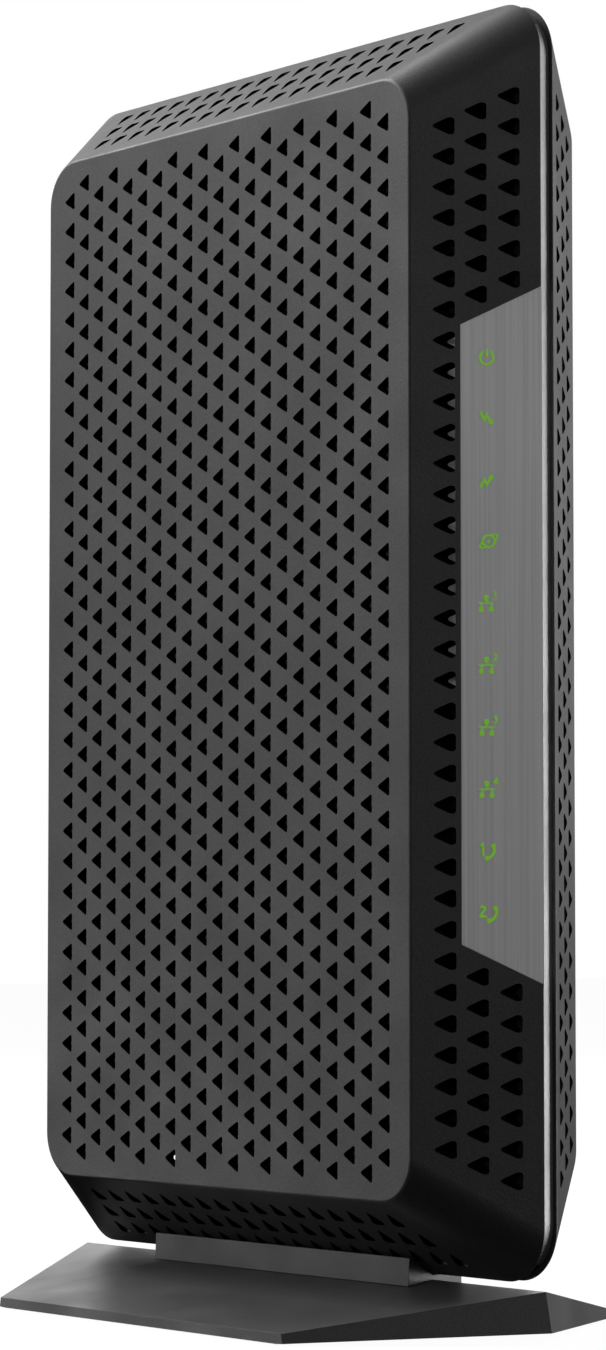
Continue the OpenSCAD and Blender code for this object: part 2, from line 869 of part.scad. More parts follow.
left_shell();
right_shell();
front_trim();
groove_seal();
light_panel();
icon_inlays();
light_guide();
led_board();
indicator_leds();
rear_panel();
main_board();
tuner_shield();
main_processor();
thermal_pad();
heat_sink();
memory_chips();
line_transformers();
capacitors();
ethernet_jacks();
ethernet_contacts();
phone_jacks();
phone_contacts();
coax_connector();
coax_nut();
coax_insulator();
power_jack();
power_jack_pin();
power_switch();
power_button();
reset_switch();
reset_button();
board_screws();
case_screws();
stand_base();
stand_cradle();
stand_screws();
rubber_feet();
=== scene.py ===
"""Looks of a stand-up cable modem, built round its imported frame. Lengths are in metres."""

import math

import bmesh
import bpy
from mathutils import Matrix, Vector


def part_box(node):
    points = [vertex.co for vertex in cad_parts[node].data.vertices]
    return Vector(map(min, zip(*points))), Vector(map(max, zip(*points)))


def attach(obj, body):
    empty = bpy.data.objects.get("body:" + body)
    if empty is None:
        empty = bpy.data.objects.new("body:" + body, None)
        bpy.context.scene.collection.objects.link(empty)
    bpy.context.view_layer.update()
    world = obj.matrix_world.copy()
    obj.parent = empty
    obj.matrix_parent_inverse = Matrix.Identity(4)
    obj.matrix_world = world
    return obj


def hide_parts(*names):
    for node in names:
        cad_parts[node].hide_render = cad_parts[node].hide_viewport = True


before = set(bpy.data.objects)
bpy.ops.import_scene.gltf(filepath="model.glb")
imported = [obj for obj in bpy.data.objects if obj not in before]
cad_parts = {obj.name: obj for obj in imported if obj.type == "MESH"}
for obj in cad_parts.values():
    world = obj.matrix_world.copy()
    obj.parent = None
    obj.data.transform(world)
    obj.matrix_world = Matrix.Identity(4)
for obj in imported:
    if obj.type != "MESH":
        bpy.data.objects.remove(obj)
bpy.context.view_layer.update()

MM = 0.001
BODY = "modem"

# Body form. The shells narrow from the ridge outline to the flat faces.
SLOPE_RUN_Y = 14.0 * MM
SLOPE_RUN_Z = 14.6 * MM
RIDGE_CORNER = 10.0 * MM
FACE_CORNER = 8.6 * MM
WALL = 2.0 * MM
FACE_FILLET = 0.8 * MM
RIDGE_FILLET = 0.15 * MM
INNER_FILLET = 0.5 * MM
FACE_BORDER = 4.0 * MM
CORNER_STEPS = 14
FILLET_STEPS = 6

# Vents
VENT_COLUMNS = 21
VENT_ROWS = 33
VENT_PITCH_Y = 5.07 * MM
VENT_PITCH_Z = 6.1 * MM
FACE_VENT = (3.7 * MM, 3.85 * MM, 0.36 * MM)
FRONT_VENT = (2.6 * MM, 4.2 * MM, 0.45 * MM)
TOP_VENT = (2.7 * MM, 4.0 * MM, 0.45 * MM)
FRONT_VENT_PITCH = 5.63 * MM
TOP_VENT_PITCH = 5.9 * MM
FRONT_SHARES = (0.27, 0.51, 0.76)
FRONT_COUNTS = (34, 35, 36)
TOP_SHARES = (0.26, 0.51, 0.76)
TOP_COUNTS = (17, 18, 19)
VENT_CORNER_STEPS = 3
VENT_BACK = 0.4
VENT_STOP = 1.4 * WALL

# Light panel, measured on the slope
PANEL_START = 0.382
PANEL_CUT = 7.25 * MM
PANEL_DEPTH = 0.8 * MM
PANEL_BEVEL = 0.14 * MM
ICON_PROUD = 0.03 * MM

# Walls that close the ridge above and below the port panel
HOOD_WALL = 1.8 * MM
HOOD_OVERLAP = 0.2 * MM
HOOD_REACH = 10.0 * MM
HOOD_LAP = 1.6 * MM
HOOD_SINK = 0.6 * WALL

# Band in the groove between the shells
BAND_WIDTH = 2.2 * MM
BAND_GAP = 0.02 * MM
BAND_BEVEL = 0.08 * MM

# Threaded coaxial barrel
THREAD_PITCH = 0.794 * MM
THREAD_DEPTH = 0.42 * MM
THREAD_FADE = 1.2 * MM
ROWS_PER_TURN = 8
BARREL_SIDES = 48
BARREL_ROOT = 3.0 * MM
BARREL_WALL = 1.25 * MM
TIP_LENGTH = 0.5 * MM
TIP_SLOPE = 0.7
BORE_LEAD_IN = 0.4 * MM
BORE_FLARE = 0.2 * MM

# Grain of the materials
GRAIN_DETAIL = 4.0
CLOUD_SCALE = 60
CLOUD_DETAIL = 2.0
BUMP_STRENGTH = 0.5

# Stage and camera
FLOOR_HALF = 4.0
FLOOR_TONE = 0.05
FLOOR_GLOW = 0.97
STUDIO_GREY = 0.11
STUDIO_DARK_END = 0.45
STUDIO_PALE_START = 0.62
FOCAL_LENGTH = 106.9
SENSOR_WIDTH = 36.0
CAMERA_PLACE = (-0.4780, -0.6178, 0.0743)
CAMERA_DIRECTION = (0.6113, 0.7889, 0.0634)

# Area lights: (name, place, target, size, power)
MIDDLE = (0, 0, 0.12)
LIGHTS = (
    ("overhead", (-0.3, 0.85, 1.1), MIDDLE, (0.8, 0.8), 17.5),
    ("right_key", (0.95, -0.75, 0.25), MIDDLE, (0.5, 1.4), 21),
    ("left_wash", (-1.0, 0.9, 0.7), MIDDLE, (0.6, 1.0), 6.5),
    ("low_rim", (-0.6, 1.05, -0.1), MIDDLE, (0.4, 0.4), 1.5),
    ("front_fill", (-0.5, -1.3, 0.7), MIDDLE, (0.8, 0.8), 1.5),
    ("low_front", (0.55, -0.5, 0.04), (0.03, -0.05, 0.02), (0.2, 0.15), 1.6),
    ("back_glow", (0.95, 1.2, 0.36), MIDDLE, (1.4, 0.5), 5),
)

low_left, high_left = (Vector(corner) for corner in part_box("left_shell"))
high_right = Vector(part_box("right_shell")[1])
low_rear, high_rear = (Vector(corner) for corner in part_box("rear_panel"))
low_trim, high_trim = (Vector(corner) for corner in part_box("front_trim"))
low_panel, high_panel = (Vector(corner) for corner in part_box("light_panel"))
HALF_Y = (high_left.y - low_left.y) / 2
HALF_Z = (high_left.z - low_left.z) / 2
MIDDLE_Z = (high_left.z + low_left.z) / 2
LEFT_DEPTH = -low_left.x
GROOVE = high_trim.x
RIGHT_DEPTH = high_right.x - GROOVE
GROOVE_DEPTH = HALF_Y + low_trim.y
SLOPE_ANGLE = math.atan2(SLOPE_RUN_Y, LEFT_DEPTH)
SLOPE_LENGTH = math.hypot(SLOPE_RUN_Y, LEFT_DEPTH)


# ---------------------------------------------------------------- meshes

def mesh_object(name, vertices, faces):
    """A new object in the scene with outward normals."""
    mesh = bpy.data.meshes.new(name)
    mesh.from_pydata(vertices, [], faces)
    work = bmesh.new()
    work.from_mesh(mesh)
    bmesh.ops.remove_doubles(work, verts=work.verts, dist=1e-7)
    bmesh.ops.recalc_face_normals(work, faces=work.faces)
    work.to_mesh(mesh)
    work.free()
    piece = bpy.data.objects.new(name, mesh)
    bpy.context.collection.objects.link(piece)
    return piece


def bake_modifiers(piece):
    """Replaces the object's mesh with its evaluated one and clears its modifiers."""
    graph = bpy.context.evaluated_depsgraph_get()
    mesh = bpy.data.meshes.new_from_object(piece.evaluated_get(graph), depsgraph=graph)
    piece.modifiers.clear()
    piece.data = mesh


def boolean(piece, other, operation):
    """Cuts or joins another closed mesh, then removes it."""
    modifier = piece.modifiers.new("cut", "BOOLEAN")
    modifier.operation = operation
    modifier.solver = "MANIFOLD"
    modifier.object = other
    bake_modifiers(piece)
    bpy.data.objects.remove(other)


def shade(piece, angle=28):
    """Smooth shading that stays flat on flat faces and breaks at sharp edges."""
    piece.data.shade_smooth()
    piece.data.set_sharp_from_angle(angle=math.radians(angle))
    weighted = piece.modifiers.new("weighted", "WEIGHTED_NORMAL")
    weighted.keep_sharp = True
    weighted.mode = "FACE_AREA"
    bake_modifiers(piece)


def bevel(piece, width, segments=2, angle=30):
    """Rounds the edges that turn by more than an angle in degrees."""
    modifier = piece.modifiers.new("bevel", "BEVEL")
    modifier.width = width
    modifier.segments = segments
    modifier.limit_method = "ANGLE"
    modifier.angle_limit = math.radians(angle)
    modifier.use_clamp_overlap = True
    bake_modifiers(piece)


def copy_of(node):
    """A new object with a copy of a CAD node's mesh, without its materials."""
    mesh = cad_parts[node].data.copy()
    mesh.name = node + "_look"
    mesh.materials.clear()
    piece = bpy.data.objects.new(node + "_look", mesh)
    bpy.context.collection.objects.link(piece)
    return piece


def softened(node, width):
    """A copy of a CAD node's mesh with its flat faces joined and its edges bevelled."""
    piece = copy_of(node)
    work = bmesh.new()
    work.from_mesh(piece.data)
    bmesh.ops.remove_doubles(work, verts=work.verts, dist=1e-6)
    bmesh.ops.dissolve_limit(work, angle_limit=math.radians(1.0), verts=work.verts, edges=work.edges)
    bmesh.ops.recalc_face_normals(work, faces=work.faces)
    work.to_mesh(piece.data)
    work.free()
    bevel(piece, width)
    shade(piece)
    return piece


def rounded_rectangle(half_y, half_z, radius):
    """Points of a rounded rectangle in the YZ plane, round the origin."""
    points = []
    for corner, (side_y, side_z) in enumerate(((1, 1), (-1, 1), (-1, -1), (1, -1))):
        for step in range(CORNER_STEPS + 1):
            turn = math.radians(90) * (corner + step / CORNER_STEPS)
            points.append((side_y * (half_y - radius) + radius * math.cos(turn),
                           side_z * (half_z - radius) + radius * math.sin(turn)))
    return points


def loft(name, rings):
    """Closed solid through rings of equal length, with a cap at each end."""
    count = len(rings[0])
    vertices = [point for ring in rings for point in ring]
    faces = [tuple(range(count)), tuple(range(len(vertices) - count, len(vertices)))]
    for ring in range(len(rings) - 1):
        start = ring * count
        for i in range(count):
            j = (i + 1) % count
            faces.append((start + i, start + j, start + count + j, start + count + i))
    return mesh_object(name, vertices, faces)


def prism(points, low, high, place):
    """Vertices and faces of a prism over 2D points; place maps (point, height) to space."""
    count = len(points)
    vertices = [place(p, low) for p in points] + [place(p, high) for p in points]
    faces = [tuple(range(count)), tuple(range(count, 2 * count))]
    faces += [(i, (i + 1) % count, count + (i + 1) % count, count + i) for i in range(count)]
    return vertices, faces


def along_z(point, z):
    return (point[0], point[1], z)


def along_x(point, x):
    return (x, point[0], point[1])


def joined(name, parts):
    """One object from several (vertices, faces) parts that don't touch."""
    vertices, faces = [], []
    for part_vertices, part_faces in parts:
        offset = len(vertices)
        vertices += part_vertices
        faces += [tuple(offset + i for i in face) for face in part_faces]
    return mesh_object(name, vertices, faces)


def block(low, high):
    """Vertices and faces of a block between two corners."""
    corners = [(low[0], low[1]), (high[0], low[1]), (high[0], high[1]), (low[0], high[1])]
    return prism(corners, low[2], high[2], along_z)


def fillet(before, corner, after, radius, steps=FILLET_STEPS):
    """Points of an arc that rounds a corner between two other points."""
    corner = Vector(corner)
    back = (Vector(before) - corner).normalized()
    on = (Vector(after) - corner).normalized()
    half = back.angle(on) / 2
    start = corner + back * radius / math.tan(half)
    centre = corner + (back + on).normalized() * radius / math.sin(half)
    arm = start - centre
    swing = math.pi - 2 * half
    sign = 1 if back.x * on.y - back.y * on.x < 0 else -1
    points = []
    for step in range(steps + 1):
        angle = sign * swing * step / steps
        points.append((centre.x + arm.x * math.cos(angle) - arm.y * math.sin(angle),
                       centre.y + arm.x * math.sin(angle) + arm.y * math.cos(angle)))
    return points


# ---------------------------------------------------------------- shells

def body_ring(depth, inset, x_of):
    """Rounded outline at a depth from the ridge plane, moved in by inset (measured along Y)."""
    share = min(max(inset / SLOPE_RUN_Y, 0), 1)
    extra = inset - share * SLOPE_RUN_Y
    radius = RIDGE_CORNER + (FACE_CORNER - RIDGE_CORNER) * share - extra
    half_z = HALF_Z - share * SLOPE_RUN_Z - extra
    outline = rounded_rectangle(HALF_Y - inset, half_z, max(radius, MM))
    return [(x_of(depth), y, z + MIDDLE_Z) for y, z in outline]


def shell_solid(name, depth, x_of):
    """Tray with a rounded rim, round corners and a fillet round its flat face."""
    drop = SLOPE_RUN_Y / depth
    side = WALL * math.sqrt(1 + drop * drop)
    reach = depth - WALL
    face_inset = SLOPE_RUN_Y + FACE_BORDER
    outer = fillet((0, side), (0, 0), (depth, SLOPE_RUN_Y), RIDGE_FILLET)
    outer += fillet((0, 0), (depth, SLOPE_RUN_Y), (depth, face_inset), FACE_FILLET)
    inner_corner = (reach, side + drop * reach)
    inner = [(0, side)] + fillet((0, side), inner_corner, (reach, face_inset + side), INNER_FILLET)
    profile = list(reversed(inner)) + outer
    return loft(name, [body_ring(h, a, x_of) for h, a in profile])


def vent_outline(length, height, radius):
    """Triangle along +x with rounded corners, a little ahead of its middle."""
    back = VENT_BACK * length
    corners = [(length - back, 0), (-back, height / 2), (-back, -height / 2)]
    points = []
    for i in range(3):
        points += fillet(corners[i - 1], corners[i], corners[(i + 1) % 3], radius, VENT_CORNER_STEPS)
    return points


def turned(points, quarter):
    """Points turned by quarters of a circle."""
    c = round(math.cos(quarter * math.pi / 2))
    s = round(math.sin(quarter * math.pi / 2))
    return [(c * x - s * y, s * x + c * y) for x, y in points]


def vent_places(skip_panel):
    """(outline, y, z above the middle) of each vent of a shell."""
    face = vent_outline(*FACE_VENT)
    front = vent_outline(*FRONT_VENT)
    top = vent_outline(*TOP_VENT)
    places = []
    for column in range(VENT_COLUMNS):
        rows = VENT_ROWS - 1 if column % 2 == 0 else VENT_ROWS
        y = (column - (VENT_COLUMNS - 1) / 2) * VENT_PITCH_Y
        places += [(face, y, (row - (rows - 1) / 2) * VENT_PITCH_Z) for row in range(rows)]
    half_panel = (high_panel.z - low_panel.z) / 2
    # The column beside the face runs past the panel, and the other two stop where it begins.
    panel_reach = (0, half_panel - 2 * MM, half_panel + MM)
    for share, count, reach in zip(FRONT_SHARES, FRONT_COUNTS, panel_reach):
        y = -(HALF_Y - SLOPE_RUN_Y + share * SLOPE_RUN_Y)
        for row in range(count):
            z = (row - (count - 1) / 2) * FRONT_VENT_PITCH
            if not skip_panel or abs(z) > reach:
                places.append((front, y, z))
    for share, count in zip(TOP_SHARES, TOP_COUNTS):
        z = HALF_Z - SLOPE_RUN_Z + share * SLOPE_RUN_Z
        for side in (-1, 1):
            outline = turned(top, -side)
            for i in range(count):
                places.append((outline, (i - (count - 1) / 2) * TOP_VENT_PITCH, side * z))
    return places


def vent_cutter(low_x, high_x, skip_panel):
    """All vents of a shell as prisms along X."""
    parts = []
    for outline, y, z in vent_places(skip_panel):
        points = [(y + p[0], MIDDLE_Z + z + p[1]) for p in outline]
        parts.append(prism(points, low_x, high_x, along_x))
    return joined("vent_cutter", parts)


def paint_vent_wall_shade(shell):
    """Puts the walls of the vents in the second material slot: painted shade, a near black that stands
    in for the shade inside the holes.
    """
    mesh = shell.data
    limit = 0.01
    edge = 1.5 * MM
    for face in mesh.polygons:
        middle = face.center
        inside = abs(middle.y) < HALF_Y - edge and abs(middle.z - MIDDLE_Z) < HALF_Z - edge
        narrow = all(abs(mesh.vertices[v].co.y - middle.y) < VENT_PITCH_Y for v in face.vertices)
        if abs(face.normal.x) < limit and inside and narrow:
            face.material_index = 1


def window_cutter():
    """The space in front of the port panel, cut out of the ridge and the walls."""
    gap = 0.15 * MM
    inward, outward = 12 * MM, 30 * MM
    low = (low_rear.x - gap, high_rear.y - inward, low_rear.z + HOOD_WALL)
    high = (high_rear.x + gap, high_rear.y + outward, high_rear.z - HOOD_WALL)
    return joined("window", [block(low, high)])


def on_slope(x, z, lift):
    """Place on the front left slope: x from the face edge, world height z, lift outwards."""
    c, s = math.cos(SLOPE_ANGLE), math.sin(SLOPE_ANGLE)
    y = SLOPE_RUN_Y - HALF_Y - x * s - lift * c
    return (-LEFT_DEPTH + x * c - lift * s, y, z)


def panel_outline(end):
    """Corners of the light panel on the slope, up to a given distance from the face edge."""
    start = PANEL_START * SLOPE_LENGTH
    middle = (high_panel.z + low_panel.z) / 2
    outer = (high_panel.z - low_panel.z) / 2
    inner = outer - PANEL_CUT
    slant = (outer - inner) / (SLOPE_LENGTH - start)
    tip = inner + slant * (end - start)
    return [(start, middle - inner), (end, middle - tip), (end, middle + tip), (start, middle + inner)]


def hood_wall_parts(side):
    """Walls that close the ridge above and below the port panel, inside one shell."""
    depth = LEFT_DEPTH if side < 0 else RIGHT_DEPTH
    start = 0 if side < 0 else GROOVE
    end = start + side * HOOD_REACH
    back = high_rear.y - HOOD_LAP
    tip = HALF_Y - HOOD_SINK
    outer = tip - SLOPE_RUN_Y / depth * HOOD_REACH
    points = [(start, back), (end, back), (end, outer), (start, tip)]
    below = (low_rear.z - HOOD_OVERLAP, low_rear.z + HOOD_WALL)
    above = (high_rear.z - HOOD_WALL, high_rear.z + HOOD_OVERLAP)
    return [prism(points, low, high, along_z) for low, high in (below, above)]


def screw_cutter():
    """Counterbores of the case screws in the right shell."""
    low, high = (Vector(c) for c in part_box("case_screws"))
    gap = 0.3 * MM
    sides = 32
    radius = (high.y - low.y) / 2 + gap
    y = (low.y + high.y) / 2
    parts = []
    for z in (low.z + radius - gap, high.z - radius + gap):
        turns = [2 * math.pi * i / sides for i in range(sides)]
        points = [(y + radius * math.cos(turn), z + radius * math.sin(turn)) for turn in turns]
        parts.append(prism(points, low.x, high_right.x + MM, along_x))
    return joined("screw_cutter", parts)


def make_left_shell():
    shell = shell_solid("left_shell_look", LEFT_DEPTH, lambda h: -h)
    boolean(shell, joined("hood", hood_wall_parts(-1)), "UNION")
    boolean(shell, window_cutter(), "DIFFERENCE")
    boolean(shell, vent_cutter(-LEFT_DEPTH - MM, -VENT_STOP, True), "DIFFERENCE")
    past_ridge, above_slope = 2 * MM, 3 * MM
    outline = panel_outline(SLOPE_LENGTH + past_ridge)
    recess = prism(outline, -PANEL_DEPTH, above_slope, lambda p, h: on_slope(p[0], p[1], h))
    boolean(shell, joined("recess", [recess]), "DIFFERENCE")
    shade(shell)
    return shell


def make_right_shell():
    shell = shell_solid("right_shell_look", RIGHT_DEPTH, lambda h: GROOVE + h)
    boolean(shell, joined("hood", hood_wall_parts(1)), "UNION")
    boolean(shell, window_cutter(), "DIFFERENCE")
    boolean(shell, vent_cutter(GROOVE + VENT_STOP, high_right.x + MM, False), "DIFFERENCE")
    boolean(shell, screw_cutter(), "DIFFERENCE")
    shade(shell)
    return shell


# ---------------------------------------------------------------- smaller pieces

def groove_band(name, keep):
    """Part of the band in the groove, cut to a block or freed of it."""
    outer = body_ring(0, GROOVE_DEPTH, lambda h: 0)
    inner = body_ring(0, GROOVE_DEPTH + BAND_WIDTH, lambda h: 0)
    count = len(outer)
    sides = (BAND_GAP, GROOVE - BAND_GAP)
    vertices = [(x, y, z) for ring in (outer, inner) for x in sides for _, y, z in ring]
    # The rings are numbered outer left 0, outer right 1, inner left 2 and inner right 3.
    faces = []
    for i in range(count):
        j = (i + 1) % count
        for a, b in ((0, 1), (1, 3), (3, 2), (2, 0)):
            faces.append((a * count + i, a * count + j, b * count + j, b * count + i))
    band = mesh_object(name, vertices, faces)
    front_low = (-MM, -HALF_Y - MM, low_trim.z)
    front_high = (GROOVE + MM, high_trim.y, HALF_Z * 3)
    front = joined("front", [block(front_low, front_high)])
    if keep:
        boolean(band, front, "INTERSECT")
    else:
        boolean(band, front, "DIFFERENCE")
        boolean(band, window_cutter(), "DIFFERENCE")
    bevel(band, BAND_BEVEL)
    shade(band)
    return band


def make_light_panel():
    """The brushed panel, narrower below so that it fits under the ridge."""
    top = panel_outline(SLOPE_LENGTH)
    under = panel_outline(SLOPE_LENGTH - PANEL_DEPTH * math.tan(SLOPE_ANGLE))
    gap = 0.03 * MM
    vertices = [on_slope(x, z, -PANEL_DEPTH + gap) for x, z in under]
    vertices += [on_slope(x, z, 0) for x, z in top]
    faces = [(0, 1, 2, 3), (4, 5, 6, 7)]
    faces += [(i, (i + 1) % 4, 4 + (i + 1) % 4, 4 + i) for i in range(4)]
    panel = mesh_object("light_panel_look", vertices, faces)
    bevel(panel, PANEL_BEVEL, 3)
    shade(panel)
    return panel


def make_icons():
    """The icon inlays, a hair proud of the panel."""
    icons = copy_of("icon_inlays")
    lift = Vector(on_slope(0, 0, ICON_PROUD)) - Vector(on_slope(0, 0, 0))
    icons.data.transform(Matrix.Translation(lift))
    return icons


def thread_radius(radius, y, end, share):
    """Radius at y and a share of a turn. The thread fades out and tapers towards the end."""
    phase = (y / THREAD_PITCH - share) % 1
    fade = min(1, (end - y) / THREAD_FADE)
    dip = THREAD_DEPTH * (1 - abs(2 * phase - 1)) * fade
    taper = max(0, y - end + TIP_LENGTH) * TIP_SLOPE
    return radius - dip - taper


def make_coax_thread():
    """Threaded barrel with a bore, turned about Y. It is as wide as the CAD barrel's root."""
    low, high = (Vector(c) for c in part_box("coax_connector"))
    radius = (high.z - low.z) / 2
    bore = radius - BARREL_WALL
    x, z = high.x - radius, (low.z + high.z) / 2
    start = high_rear.y - BARREL_ROOT
    length = high.y - start
    rows = int(length / THREAD_PITCH * ROWS_PER_TURN)
    shares = [i / BARREL_SIDES for i in range(BARREL_SIDES)]

    def ring(y, radii):
        """Points round the axis at y, one for each radius."""
        turns = [2 * math.pi * i / BARREL_SIDES for i in range(BARREL_SIDES)]
        return [(x + r * math.cos(turn), y, z + r * math.sin(turn)) for r, turn in zip(radii, turns)]

    rings = [ring(start, [bore] * BARREL_SIDES)]
    for row in range(rows + 1):
        y = start + length * row / rows
        rings.append(ring(y, [thread_radius(radius, y, high.y, share) for share in shares]))
    rings.append(ring(high.y, [bore + BORE_FLARE] * BARREL_SIDES))
    rings.append(ring(high.y - BORE_LEAD_IN, [bore] * BARREL_SIDES))
    vertices = [point for points in rings for point in points]
    faces = []
    for k in range(len(rings)):
        a, b = k * BARREL_SIDES, ((k + 1) % len(rings)) * BARREL_SIDES
        for i in range(BARREL_SIDES):
            j = (i + 1) % BARREL_SIDES
            faces.append((a + i, a + j, b + j, b + i))
    barrel = mesh_object("coax_connector_look", vertices, faces)
    shade(barrel, 40)
    return barrel


# ---------------------------------------------------------------- materials

def new_material(name):
    """A material with its nodes, links and shader."""
    material = bpy.data.materials.new(name)
    material.use_nodes = True
    nodes = material.node_tree.nodes
    return material, nodes, material.node_tree.links, nodes["Principled BSDF"]


def noise(nodes, links, scale, detail, stretch=(1, 1, 1)):
    """Noise in object coordinates, in metres, stretched along an axis."""
    place = nodes.new("ShaderNodeTexCoord")
    mapping = nodes.new("ShaderNodeMapping")
    mapping.inputs["Scale"].default_value = stretch
    texture = nodes.new("ShaderNodeTexNoise")
    texture.inputs["Scale"].default_value = scale
    texture.inputs["Detail"].default_value = detail
    links.new(place.outputs["Object"], mapping.inputs["Vector"])
    links.new(mapping.outputs["Vector"], texture.inputs["Vector"])
    return texture.outputs["Fac"]


def ramp(nodes, links, factor, low, high, start=0.3, end=0.7):
    """A colour or grey that runs from low to high over a stretch of the factor."""
    node = nodes.new("ShaderNodeValToRGB")
    ends = node.color_ramp.elements
    ends[0].position, ends[1].position = start, end
    ends[0].color = (*low, 1) if isinstance(low, tuple) else (low, low, low, 1)
    ends[1].color = (*high, 1) if isinstance(high, tuple) else (high, high, high, 1)
    links.new(factor, node.inputs["Fac"])
    return node.outputs["Color"]


def bump(nodes, links, factor, shader, distance):
    """Raises the surface by up to a distance as the factor goes from 0 to 1."""
    node = nodes.new("ShaderNodeBump")
    node.inputs["Strength"].default_value = BUMP_STRENGTH
    node.inputs["Distance"].default_value = distance
    links.new(factor, node.inputs["Height"])
    links.new(node.outputs["Normal"], shader.inputs["Normal"])


def textured(name, colour, roughness, spread=0.15, grain=2500, depth=0.00006, metallic=0.0,
             stretch=(1, 1, 1), specular=0.5, rough_spread=0.06):
    """Colour, roughness and bump that vary together over a fine grain."""
    material, nodes, links, shader = new_material(name)
    grains = noise(nodes, links, grain, GRAIN_DETAIL, stretch)
    clouds = noise(nodes, links, CLOUD_SCALE, CLOUD_DETAIL)
    low = tuple(c * (1 - spread) for c in colour)
    high = tuple(min(1, c * (1 + spread)) for c in colour)
    links.new(ramp(nodes, links, grains, low, high), shader.inputs["Base Color"])
    links.new(ramp(nodes, links, clouds, roughness - rough_spread, roughness + rough_spread),
              shader.inputs["Roughness"])
    shader.inputs["Metallic"].default_value = metallic
    shader.inputs["Specular IOR Level"].default_value = specular
    bump(nodes, links, grains, shader, depth)
    return material


def make_materials():
    """All looks. After the roughness come colour spread, grain per metre, bump depth and metallic."""
    looks = {}
    looks["shell"] = textured("shell_plastic", (0.045, 0.045, 0.046), 0.5, 0.25, 2600, 0.00009)
    # Painted shade: the vent walls are shell plastic, given near black without specular so that the
    # holes read as shaded.
    looks["vent"] = textured("vent_wall_painted_shade", (0.003, 0.003, 0.003), 0.9, 0.3, 2600, 0.00003,
                             specular=0.0)
    # The seal's black is its own colour, and past the bottom front corner it also stands in as painted
    # shade for the band's darker stretch.
    looks["seal"] = textured("groove_black", (0.006, 0.006, 0.006), 0.25, 0.1, 900, 0.00001)
    looks["rear"] = textured("rear_plastic", (0.028, 0.028, 0.029), 0.5, 0.25, 2600, 0.00008)
    looks["stand"] = textured("stand_plastic", (0.05, 0.05, 0.051), 0.42, 0.2, 2600, 0.00006)
    looks["cradle"] = textured("cradle_plastic", (0.024, 0.024, 0.025), 0.45, 0.2, 2600, 0.00006)
    looks["trim"] = textured("trim_silver", (0.2, 0.2, 0.2), 0.45, 0.05, 1500, 0.00001, 0.3)
    looks["panel"] = textured("panel_brushed", (0.88, 0.88, 0.89), 0.42, 0.1, 2200, 0.00003, 0.15,
                              stretch=(1, 1, 0.006))
    looks["icon"] = lit_icon()
    looks["rubber"] = textured("foot_rubber", (0.018, 0.018, 0.018), 0.8, 0.3, 1800, 0.00005)
    looks["jack"] = textured("jack_plastic", (0.02, 0.02, 0.02), 0.38, 0.15, 1500, 0.00002)
    looks["phone"] = textured("phone_jack_plastic", (0.045, 0.045, 0.048), 0.38, 0.15, 1500, 0.00002)
    looks["button"] = textured("button_plastic", (0.03, 0.03, 0.03), 0.3, 0.1, 1500, 0.00001)
    looks["chip"] = textured("component_black", (0.02, 0.02, 0.021), 0.45, 0.2, 1200, 0.00003)
    looks["board"] = textured("board_green", (0.012, 0.1, 0.045), 0.35, 0.2, 300, 0.00004)
    looks["white"] = textured("insulator_white", (0.8, 0.8, 0.77), 0.45, 0.04, 900, 0.00001)
    looks["pad"] = textured("pad_grey", (0.35, 0.37, 0.4), 0.7, 0.1, 900, 0.00003)
    looks["red"] = textured("reset_red", (0.3, 0.02, 0.02), 0.4, 0.08, 900, 0.00001)
    looks["sleeve"] = textured("capacitor_sleeve", (0.02, 0.025, 0.06), 0.3, 0.1, 700, 0.00001)
    looks["led"] = textured("led_white", (0.8, 0.8, 0.62), 0.4, 0.04, 900, 0.00001)
    looks["steel"] = textured("screw_steel", (0.5, 0.5, 0.51), 0.32, 0.12, 1500, 0.00002, 1.0)
    looks["shield"] = textured("shield_steel", (0.6, 0.6, 0.6), 0.35, 0.08, 500, 0.00002, 1.0)
    looks["sink"] = textured("heat_sink_alloy", (0.5, 0.51, 0.52), 0.45, 0.08, 900, 0.00002, 0.9)
    looks["gold"] = textured("gold_contact", (0.83, 0.6, 0.22), 0.25, 0.06, 900, 0.00001, 1.0)
    looks["nickel"] = textured("coax_nickel", (0.66, 0.64, 0.6), 0.24, 0.08, 1200, 0.00001, 1.0)
    looks["clear"] = clear_plastic()
    return looks


def lit_icon():
    """Green inlay that glows a little, as with the lamp behind it on."""
    material = textured("icon_green", (0.22, 0.55, 0.035), 0.4, 0.04, 800, 0.000005)
    shader = material.node_tree.nodes["Principled BSDF"]
    shader.inputs["Emission Color"].default_value = (0.2, 0.55, 0.03, 1)
    shader.inputs["Emission Strength"].default_value = 0.42
    return material


def clear_plastic():
    """Clear plastic of the light guide."""
    material = textured("clear_plastic", (0.85, 0.9, 0.9), 0.1, 0.03, 600, 0.000005)
    shader = material.node_tree.nodes["Principled BSDF"]
    shader.inputs["Transmission Weight"].default_value = 0.8
    return material


# ---------------------------------------------------------------- assembly

CAD_LOOKS = {
    "light_guide": "clear", "led_board": "board", "indicator_leds": "led", "main_board": "board",
    "tuner_shield": "shield", "main_processor": "chip", "thermal_pad": "pad", "heat_sink": "sink",
    "memory_chips": "chip", "line_transformers": "chip", "capacitors": "sleeve",
    "ethernet_contacts": "gold", "phone_contacts": "gold", "coax_insulator": "white",
    "power_jack_pin": "nickel", "power_switch": "chip", "reset_switch": "shield",
    "reset_button": "red", "board_screws": "steel", "case_screws": "steel", "stand_screws": "steel",
}

